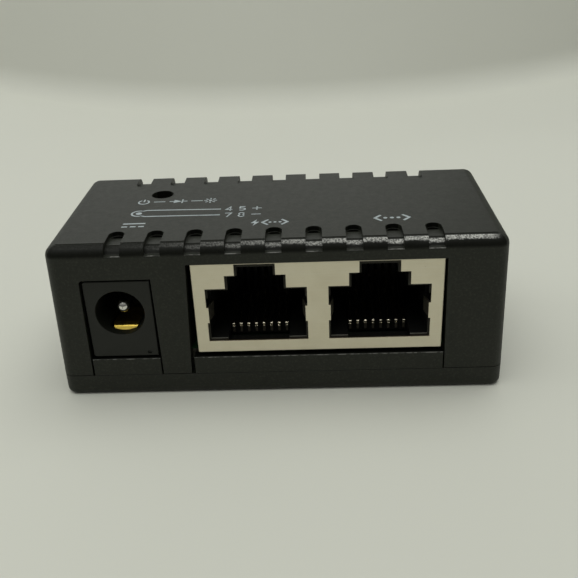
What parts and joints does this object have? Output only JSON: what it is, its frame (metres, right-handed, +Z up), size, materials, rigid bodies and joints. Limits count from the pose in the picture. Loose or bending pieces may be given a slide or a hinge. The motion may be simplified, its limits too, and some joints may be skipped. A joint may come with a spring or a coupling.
{
  "type": "poe injector",
  "caption": "Small black vented plastic case with two shielded network sockets and a DC power jack on one long side, and an indicator lamp hole on top.",
  "frame": {"origin": "middle of the flat underside", "axes": "+X along the length to the right as seen facing the sockets, -Y out of the sockets, +Z up"},
  "size_m": [0.0584, 0.0264, 0.0217],
  "materials": {
    "case_plastic": "fine matt moulded texture, spark-eroded on the upper edges",
    "jack_plastic": "satin black moulding",
    "socket_plastic": "matt black glass-filled moulding",
    "shield_sheet": "matt nickel plate on sheet, cut edges bare",
    "contact_gold": "gold flash over phosphor bronze",
    "nickel_plate": "bright nickel plate",
    "spring_brass": "bright rolled brass strip",
    "tin_plate": "matt tin plate",
    "board_laminate": "green solder mask over woven glass laminate",
    "lamp_epoxy": "tinted clear epoxy",
    "component_ceramic": "black glaze on ceramic",
    "fuse_laminate": "green moulded laminate",
    "component_epoxy": "matt black moulding compound",
    "solder": "bright solder"
  },
  "bodies": {
    "injector": {"top_cover": "case_plastic", "bottom_cover": "case_plastic", "circuit_board": "board_laminate", "rj45_shield": "shield_sheet", "rj45_housing": "socket_plastic", "poe_contact_carrier": "socket_plastic", "lan_contact_carrier": "socket_plastic", "poe_contact_tails": "contact_gold", "lan_contact_tails": "contact_gold", "dc_jack_body": "jack_plastic", "dc_centre_pin": "nickel_plate", "dc_pin_terminal": "nickel_plate", "dc_sleeve_terminal": "spring_brass", "dc_switch_contact": "nickel_plate", "lamp_body": "lamp_epoxy", "lamp_leads": "tin_plate", "resistor_body": "component_ceramic", "resistor_caps": "tin_plate", "fuse_body": "fuse_laminate", "fuse_caps": "tin_plate", "diode_body": "component_epoxy", "diode_leads": "tin_plate", "solder_joints": "solder"},
    "poe_contacts": {"poe_contact_springs": "contact_gold"},
    "lan_contacts": {"lan_contact_springs": "contact_gold"},
    "poe_left_leaf": {"poe_side_spring_left": "shield_sheet"},
    "poe_right_leaf": {"poe_side_spring_right": "shield_sheet"},
    "lan_left_leaf": {"lan_side_spring_left": "shield_sheet"},
    "lan_right_leaf": {"lan_side_spring_right": "shield_sheet"},
    "dc_sleeve": {"dc_sleeve_spring": "spring_brass"}
  },
  "joints": [
    {"name": "poe_contact_flex", "type": "hinge", "parent": "injector", "child": "poe_contacts", "pos_m": [-0.00264, -0.0091, 0.00815], "axis": [-1, 0, 0], "range_deg": [0, 9], "stiffness_Nm_per_rad": 0.3},
    {"name": "poe_left_leaf_flex", "type": "hinge", "parent": "injector", "child": "poe_left_leaf", "pos_m": [-0.00894, -0.01252, 0.01161], "axis": [0, 0, 1], "range_deg": [0, 5], "stiffness_Nm_per_rad": 0.16},
    {"name": "poe_right_leaf_flex", "type": "hinge", "parent": "injector", "child": "poe_right_leaf", "pos_m": [0.00366, -0.01252, 0.01161], "axis": [0, 0, 1], "range_deg": [-5, 0]},
    {"name": "lan_contact_flex", "type": "hinge", "parent": "injector", "child": "lan_contacts", "pos_m": [0.01296, -0.0091, 0.00815], "axis": [-1, 0, 0], "range_deg": [0, 9], "stiffness_Nm_per_rad": 0.3},
    {"name": "lan_left_leaf_flex", "type": "hinge", "parent": "injector", "child": "lan_left_leaf", "pos_m": [0.00666, -0.01252, 0.01161], "axis": [0, 0, 1], "range_deg": [0, 5], "stiffness_Nm_per_rad": 0.16},
    {"name": "lan_right_leaf_flex", "type": "hinge", "parent": "injector", "child": "lan_right_leaf", "pos_m": [0.01926, -0.01252, 0.01161], "axis": [0, 0, 1], "range_deg": [-5, 0]},
    {"name": "dc_sleeve_flex", "type": "hinge", "parent": "injector", "child": "dc_sleeve", "pos_m": [-0.02027, -0.0043, 0.00845], "axis": [1, 0, 0], "range_deg": [0, 4], "stiffness_Nm_per_rad": 0.1}
  ],
  "couplings": [
    {"joint": "poe_right_leaf_flex", "follows": "poe_left_leaf_flex", "ratio": -1},
    {"joint": "lan_right_leaf_flex", "follows": "lan_left_leaf_flex", "ratio": -1}
  ]
}
